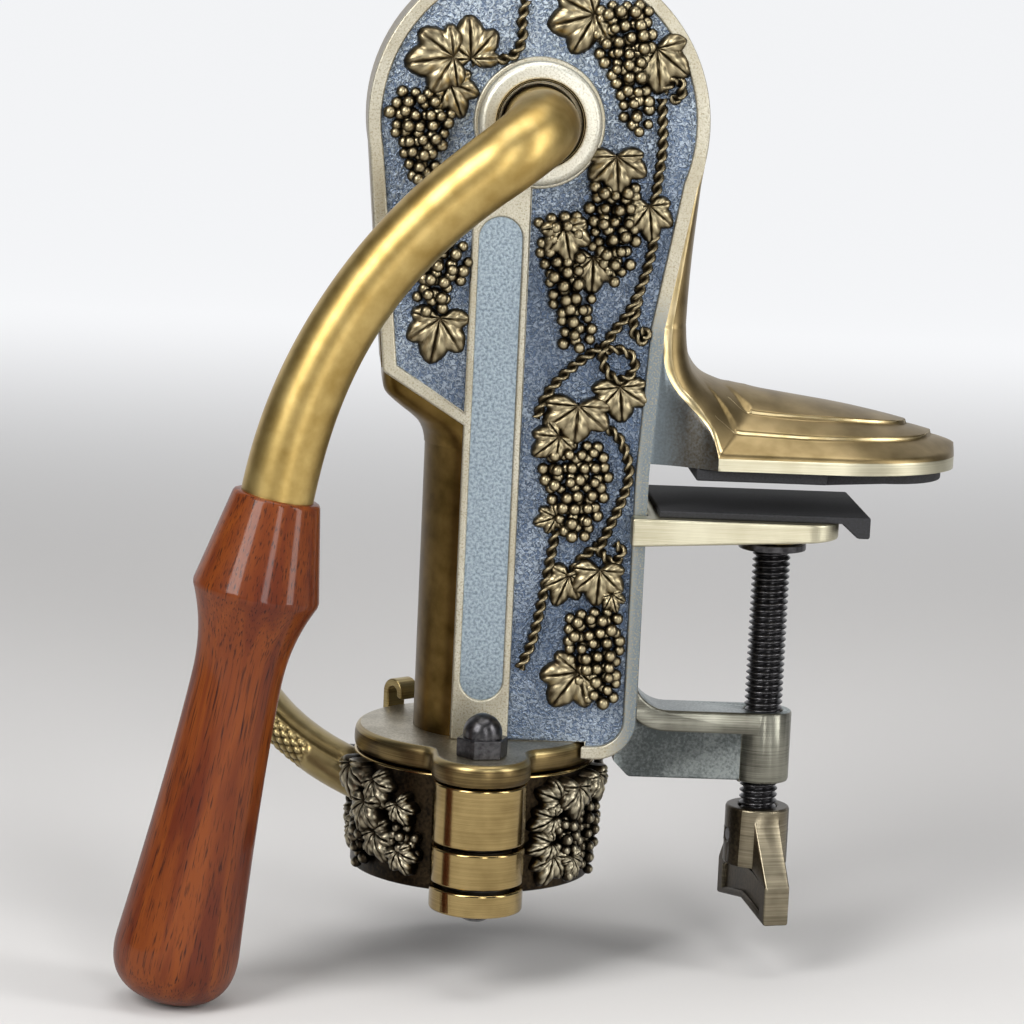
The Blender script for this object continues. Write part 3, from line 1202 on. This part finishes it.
# lever: a smooth back strip between grooves, and a scaled belly
lever = {"start": (-28.0, 1.0, -14.2), "leave": (-15.25, 2.6, 5.68), "arrive": (1.83, -1.3, -19.8),
         "end": (-61.0, 13.0, 22.0), "deep": 6.0, "wide": 7.5, "scaleL": 3.2, "scaleW": 2.8, "scaleH": 0.8,
         "grooveH": 0.5, "meanR": 6.4, "tipFrom": 0.8, "bellyFrom": 13.0, "grooveFrom": 4.0}


def makeLever():
    start = Vector(lever["start"])
    end = Vector(lever["end"])
    steps = 150
    sides = 96
    path = bezier(start, start + Vector(lever["leave"]), end + Vector(lever["arrive"]), end, steps)
    rings = []
    levels = []
    run = 0.0
    normal = Vector((0, 0, 1))
    for i in range(steps + 1):
        u = i / steps
        tangent = (path[min(i + 1, steps)] - path[max(i - 1, 0)]).normalized()
        normal = (normal - normal.dot(tangent) * tangent).normalized()
        side = tangent.cross(normal)
        run += (path[i] - path[i - 1]).length if i else 0
        fall = math.sqrt(max(0.0004, 1 - max(0, (u - lever["tipFrom"]) / 0.2001) ** 2))
        a = lever["deep"] * mix(1, 0.75, u) * fall
        b = lever["wide"] * mix(0.93, 1.07, u) * fall
        ring = []
        for k in range(sides):
            turn = 2 * math.pi * k / sides
            around = turn * lever["meanR"]
            belly = clamp((0.5 - math.cos(turn)) / 0.12) * clamp((run - lever["bellyFrom"]) / 2) * fall
            groove = math.exp(-((math.cos(turn) - 0.6) / 0.09) ** 2)
            groove *= clamp((run - lever["grooveFrom"]) / 3) * fall
            p = math.pi * (run / lever["scaleL"] + around / lever["scaleW"])
            q = math.pi * (run / lever["scaleL"] - around / lever["scaleW"])
            dome = math.sqrt(abs(math.sin(p) * math.sin(q)))
            bump = lever["scaleH"] * belly * (dome - 0.9) - lever["grooveH"] * groove
            levels.append(mix(0.75, 1.25 * dome - 0.15, belly) * (1 - 0.7 * groove))
            spot = path[i] + (a + bump) * math.cos(turn) * normal + (b + bump) * math.sin(turn) * side
            ring.append(at(*spot))
        rings.append(ring)
    piece = smooth(newPiece("jawLever", *loft(rings), weld=0), 60)
    keepHeights(piece, levels)
    dress(piece, ("scaledLeverBrass",))
    standIn(piece, "jaw", "cast_bronze", "jaw_lever")


makeLever()

# handle: arm out of the hub, round the elbow and down to the grip
arm = {"rootR": 8.7, "midR": 7.8, "endR": 8.6, "handleY": -48.0, "elbowR": 15.5, "slope": 37.4, "lead": 0.52,
       "tail": 0.16, "gripX": -51.2, "gripZ": 63.5, "startY": -17.9, "thinAt": 0.6}
gripWay = Vector((-math.sin(math.radians(gripLean)), 0, -math.cos(math.radians(gripLean))))
gripTop = Vector((arm["gripX"], arm["handleY"], arm["gripZ"]))


def makeArm():
    hub = Vector((body["hubX"], 0, body["hubZ"]))
    way = Vector((-math.cos(math.radians(arm["slope"])), 0, -math.sin(math.radians(arm["slope"]))))
    elbowY = arm["handleY"] + arm["elbowR"]
    path = [hub + Vector((0, mix(arm["startY"], elbowY, k / 4), 0)) for k in range(4)]
    for k in range(25):
        turn = math.pi / 2 * k / 24
        path.append(hub + Vector((0, elbowY - arm["elbowR"] * math.sin(turn), 0))
                    + arm["elbowR"] * (1 - math.cos(turn)) * way)
    start = path[-1]
    reach = (gripTop - start).length
    second = start + reach * arm["lead"] * way
    third = gripTop - reach * arm["tail"] * gripWay
    path += bezier(start, second, third, gripTop, 60)[1:]
    lengths = [0.0]
    for k in range(1, len(path)):
        lengths.append(lengths[-1] + (path[k] - path[k - 1]).length)
    radii = []
    for s in lengths:
        u = s / lengths[-1]
        thin = arm["thinAt"]
        if u < thin:
            r = mix(arm["rootR"], arm["midR"], (1 - math.cos(math.pi * u / thin)) / 2)
        else:
            r = mix(arm["midR"], arm["endR"], (1 - math.cos(math.pi * (u - thin) / (1 - thin))) / 2)
        radii.append(r * mm)
    bar = runTree(newLine("handleArm", [at(*p) for p in path], radii), barTree,
                  {"Sides": 56, "Metal": finish["satinBrass"]})
    standIn(bar, "handle", "satin_brass", "handle_arm")


makeArm()

# grip: turned hardwood, a cone to the shoulder, a waist and a long swell
grip = {"length": 124.0, "topR": 10.3, "shoulderR": 15.0, "shoulder": 24.0, "waistR": 10.6, "waist": 44.0,
        "swellR": 14.9, "swell": 111.0, "boreR": 3.0, "boreL": 98.0}


def gripRadius(s):
    if s < grip["shoulder"] - 2:
        return mix(grip["topR"], grip["shoulderR"] - 0.15, s / (grip["shoulder"] - 2))
    if s < grip["shoulder"]:
        t = (s - grip["shoulder"] + 2) / 2
        return grip["shoulderR"] - 0.15 + 0.15 * math.sin(math.pi * t)
    if s < grip["waist"]:
        t = 1 - (s - grip["shoulder"]) / (grip["waist"] - grip["shoulder"])
        return mix(grip["waistR"], grip["shoulderR"] - 0.15, t ** 2.2)
    if s < grip["swell"]:
        t = (s - grip["waist"]) / (grip["swell"] - grip["waist"])
        return mix(grip["waistR"], grip["swellR"], t ** 1.4)
    t = (s - grip["swell"]) / (grip["length"] - grip["swell"])
    return grip["swellR"] * max(0, 1 - t ** 2.6) ** (1 / 2.6)


def makeGrip():
    stations = [k * 0.25 for k in range(4 * 28)] + [28 + k for k in range(83)]
    stations += [mix(grip["swell"], grip["length"], math.sin(math.pi / 2 * k / 24)) for k in range(1, 25)]
    profile = [(grip["boreR"], 0.0), (grip["topR"] - 0.6, 0.0), (grip["topR"] - 0.15, 0.2)]
    profile += [(gripRadius(s), s) for s in stations[3:]]
    profile += [(0.0, grip["length"]), (0.0, grip["boreL"]), (grip["boreR"], grip["boreL"]),
                (grip["boreR"], 0.0)]
    piece = newPiece("woodenGrip", *turned(profile, at(*gripTop), gripWay, 72, caps=False))
    smooth(piece, 40)
    dress(piece, ("lacqueredHardwood",))
    standIn(piece, "handle", "lacquered_wood", "wooden_grip")


makeGrip()
print("handle done")

# clamp screw: cut thread, one start
thread = {"lowZ": -28.9, "highZ": 55.1, "r": 4.76, "rootR": 3.75, "pitch": 1.5875, "sides": 28}


def makeClampScrew():
    rows = int((thread["highZ"] - thread["lowZ"]) / thread["pitch"] * 8)
    rings = []
    for i in range(rows + 1):
        z = mix(thread["lowZ"], thread["highZ"], i / rows)
        ring = []
        for k in range(thread["sides"]):
            phase = (z / thread["pitch"] - k / thread["sides"]) % 1
            r = mix(thread["rootR"], thread["r"], min(1, 2.3 * min(phase, 1 - phase)))
            turn = 2 * math.pi * k / thread["sides"]
            ring.append(at(body["screwX"] + r * math.cos(turn), r * math.sin(turn), z))
        rings.append(ring)
    screw = smooth(newPiece("clampScrew", *loft(rings)), 70)
    dress(screw, ("blackOxideSteel",))
    standIn(screw, "screw", "black_steel", "clamp_screw")


makeClampScrew()

# smaller castings and turned pieces: CAD shapes with their edges broken
for pieceName, node, owner, slot, look, width in (
        ("guideHook", "guide_hook", "jaw", "cover_bronze", "linishedAntiqueBrass", 0.45),
        ("pressurePlate", "pressure_plate", "clamp", "clamp_brass", "brushedPaleBrass", 0.6),
        ("pressurePad", "pressure_pad", "clamp", "black_rubber", "mouldedRubber", 0.5),
        ("footPad", "foot_pad", "frame", "black_rubber", "mouldedRubber", 0.5),
        ("swivelCollar", "swivel_collar", "clamp", "clamp_brass", "linishedAntiqueBrass", 0.3),
        ("screwWasher", "screw_washer", "screw", "black_steel", "blackOxideSteel", 0.3),
        ("acornNut", "acorn_nut", "frame", "black_steel", "blackOxideSteel", 0.35),
        ("hingePin", "hinge_pin", "frame", "black_steel", "blackOxideSteel", 0.25),
        ("endWasher", "end_washer", "handle", "black_steel", "blackOxideSteel", 0.25),
        ("endScrew", "end_screw", "handle", "black_steel", "blackOxideSteel", 0.25),
        ("coverScrews", "cover_screws", "frame", "black_steel", "blackOxideSteel", 0.25)):
    standIn(dress(polishedCopy(pieceName, node, width), (look,)), owner, slot, node)
hubRing = polishedCopy("hubRing", "hub_ring", 0.5)


def hubFinish(p, n):
    spoke = Vector((p.x - body["hubX"], 0, p.z - body["hubZ"])).normalized()
    return 1 if n.dot(spoke) < -0.5 else 0


dress(hubRing, ("paleHubBronze", "shadedBrass"), hubFinish)
standIn(hubRing, "frame", "cover_bronze", "hub_ring")
wing = {"turn": 104.0, "start": 5.0}  # thumb key: where its wings point, and how far out they start
wingWay = Vector((math.cos(math.radians(wing["turn"])), math.sin(math.radians(wing["turn"])), 0))


# the flats of the wings, paler than the rest of the key
def keyFinish(p, n):
    out = abs((p - Vector((body["screwX"], 0, 0))).dot(wingWay))
    return 1 if abs(n.dot(wingWay)) > 0.35 and out > wing["start"] else 0


thumbKey = polishedCopy("thumbKey", "thumb_key", 0.7)
dress(thumbKey, ("handledKeyBronze", "handledWingBronze"), keyFinish)
standIn(thumbKey, "screw", "clamp_brass", "thumb_key")
print("small pieces done")

# what keeps its CAD shape gets its finish
inside = {"shadedBrass": ("front_bushing",),
          "machinedBrass": ("rear_bushing", "idler_spacer", "worm_nut", "drive_gear", "carriage",
                            "thrust_washer"),
          "groundSteel": ("idler_axle", "guide_pins", "grip_bolt", "drive_shaft", "gear_key", "idler_gear",
                          "rack", "rack_pin", "swivel_pins", "worm"),
          "blackOxideSteel": ("base_screws", "jaw_screws", "key_pin"),
          "mouldedRubber": ("lip_cushion", "fixed_liner", "moving_liner"),
          "mouldedNylon": ("rack_guide", "knuckle_washers")}
for look, nodes in inside.items():
    for node in nodes:
        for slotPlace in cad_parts[node].material_slots:
            slotPlace.material = finish[look]
print("inner parts finished")

# studio: pale floor and backdrop, tall soft boxes round the front, dark elsewhere
studio = {"paper": "#d0cecc", "glow": "#f1f2f4", "glowFrom": 0.4, "glowTo": 1.5, "bendY": 1.5,
          "bendR": 0.7, "reach": 3.0, "worldColour": "#b9bec9", "worldStrength": 0.14}


# paper that fades from a pale floor to a white backdrop, which only the eye and reflections see
def makePaper(look):
    tree, shader, where = newFinish("palePaper", {"Roughness": 0.9, "Emission Color": linear(look["glow"])})
    back = addNode(tree, "ShaderNodeSeparateXYZ", {0: where}, out=1)
    share = addNode(tree, "ShaderNodeMapRange", {"Value": back, "From Min": look["glowFrom"],
                                                 "From Max": look["glowTo"]},
                    interpolation_type="SMOOTHSTEP")
    ray = addNode(tree, "ShaderNodeLightPath", out=None)
    seen = addNode(tree, "ShaderNodeMath", {0: ray["Is Camera Ray"], 1: ray["Is Glossy Ray"]},
                   operation="MAXIMUM")
    seen = addNode(tree, "ShaderNodeMath", {0: seen, 1: ray["Is Transmission Ray"]}, operation="MAXIMUM")
    glow = addNode(tree, "ShaderNodeMath", {0: share, 1: seen}, operation="MULTIPLY")
    colour = addNode(tree, "ShaderNodeMix", {0: glow, 6: linear(look["paper"]), 7: (0.0, 0.0, 0.0, 1.0)},
                     data_type="RGBA", out=2)
    tree.links.new(colour, shader.inputs["Base Color"])
    tree.links.new(glow, shader.inputs["Emission Strength"])


def makeStudio():
    low = cadBox[0][2]
    bendR = studio["bendR"]
    reach = studio["reach"]
    line = [(-reach, low)] + arc(studio["bendY"], low + bendR, bendR, -90, 0, 32)
    line.append((studio["bendY"] + bendR, reach))
    points = [(x, y, z) for y, z in line for x in (-reach, reach)]
    faces = [(2 * k, 2 * k + 1, 2 * k + 3, 2 * k + 2) for k in range(len(line) - 1)]
    sweep = smooth(newPiece("paperSweep", points, faces), 60)
    makePaper(studio)
    dress(sweep, ("palePaper",))
    lamps = (("keyBox", (-0.8, -0.8, 0.7), (-0.05, 0.0, 0.0), 0.5, 0.9, 15),
             ("frontStrip", (0.22, -1.15, 0.3), (-0.07, 0.0, 0.0), 0.22, 0.9, 5),
             ("rightStrip", (0.9, -0.5, 0.4), (-0.07, 0.0, 0.0), 0.3, 1.0, 7),
             ("topBox", (0.0, -0.1, 1.1), (-0.05, 0.0, 0.0), 0.9, 0.7, 7),
             ("backBox", (0.0, 1.0, 1.6), (0.0, 2.2, 0.5), 1.6, 0.6, 5))
    for name, where, aim, wide, tall, power in lamps:
        lamp = bpy.data.lights.new(name, "AREA")
        lamp.shape = "RECTANGLE"
        lamp.size = wide
        lamp.size_y = tall
        lamp.energy = power
        stand = bpy.data.objects.new(name, lamp)
        bpy.context.collection.objects.link(stand)
        stand.location = where
        stand.rotation_euler = (Vector(aim) - Vector(where)).to_track_quat("-Z", "Y").to_euler()
    world = bpy.data.worlds.new("studioWorld")
    world.use_nodes = True
    sky = world.node_tree.nodes["Background"]
    sky.inputs["Color"].default_value = linear(studio["worldColour"])
    sky.inputs["Strength"].default_value = studio["worldStrength"]
    bpy.context.scene.world = world
    bpy.context.scene.view_settings.view_transform = "Standard"


makeStudio()
print("studio lit")
